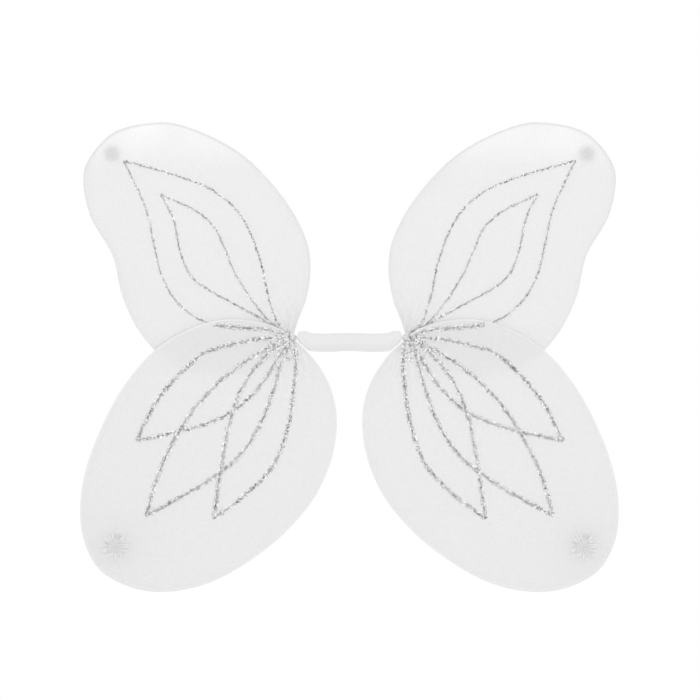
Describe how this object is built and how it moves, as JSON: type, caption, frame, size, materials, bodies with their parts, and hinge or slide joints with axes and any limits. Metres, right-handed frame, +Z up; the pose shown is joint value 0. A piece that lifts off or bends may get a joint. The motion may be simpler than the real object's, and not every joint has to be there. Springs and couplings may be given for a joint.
{
  "type": "fairy wings",
  "caption": "Costume fairy wings: sheer white nylon stretched over wire hoops, silver glitter vein leaves, and a padded fabric bridge that rests on the wearer's back.",
  "frame": {"origin": "middle of the bridge's flat back face, the face that rests on the wearer", "axes": "+Z up, +Y towards the wearer's back, +X to the wearer's right; the decorated faces look along -Y"},
  "size_m": [0.6024, 0.0155, 0.5263],
  "materials": {
    "nylon": "sheer white knitted nylon",
    "white_wire": "white coated steel wire",
    "glitter": "silver glitter in clear glue",
    "thread": "white polyester thread",
    "sleeve_fabric": "white brushed polyester knit",
    "padding": "white polyester wadding"
  },
  "bodies": {
    "bridge": {"bridge_sleeve": "sleeve_fabric", "bridge_padding": "padding", "bridge_wire": "white_wire"},
    "left_root": {"left_root_knot": "thread"},
    "left_upper_wing": {"left_upper_wire_hoop": "white_wire", "left_upper_nylon_cover": "nylon", "left_upper_glitter_veins": "glitter", "left_upper_gathered_toe": "nylon", "left_upper_toe_thread": "thread"},
    "left_lower_wing": {"left_lower_wire_hoop": "white_wire", "left_lower_nylon_cover": "nylon", "left_lower_glitter_veins": "glitter", "left_lower_gathered_toe": "nylon", "left_lower_toe_thread": "thread"},
    "right_root": {"right_root_knot": "thread"},
    "right_upper_wing": {"right_upper_wire_hoop": "white_wire", "right_upper_nylon_cover": "nylon", "right_upper_glitter_veins": "glitter", "right_upper_gathered_toe": "nylon", "right_upper_toe_thread": "thread"},
    "right_lower_wing": {"right_lower_wire_hoop": "white_wire", "right_lower_nylon_cover": "nylon", "right_lower_glitter_veins": "glitter", "right_lower_gathered_toe": "nylon", "right_lower_toe_thread": "thread"}
  },
  "joints": [
    {"name": "left_fold", "type": "hinge", "parent": "bridge", "child": "left_root", "pos_m": [-0.0634, -0.0048, 0], "axis": [0, 0, 1], "range_deg": [-25, 85]},
    {"name": "left_upper_splay", "type": "hinge", "parent": "left_root", "child": "left_upper_wing", "pos_m": [-0.0634, -0.0048, 0], "axis": [0, 1, 0], "range_deg": [-15, 10]},
    {"name": "left_lower_splay", "type": "hinge", "parent": "left_root", "child": "left_lower_wing", "pos_m": [-0.0634, -0.0048, 0], "axis": [0, 1, 0], "range_deg": [-4, 15]},
    {"name": "right_fold", "type": "hinge", "parent": "bridge", "child": "right_root", "pos_m": [0.0634, -0.0048, 0], "axis": [0, 0, -1], "range_deg": [-25, 85]},
    {"name": "right_upper_splay", "type": "hinge", "parent": "right_root", "child": "right_upper_wing", "pos_m": [0.0634, -0.0048, 0], "axis": [0, -1, 0], "range_deg": [-15, 10]},
    {"name": "right_lower_splay", "type": "hinge", "parent": "right_root", "child": "right_lower_wing", "pos_m": [0.0634, -0.0048, 0], "axis": [0, -1, 0], "range_deg": [-4, 15]}
  ]
}
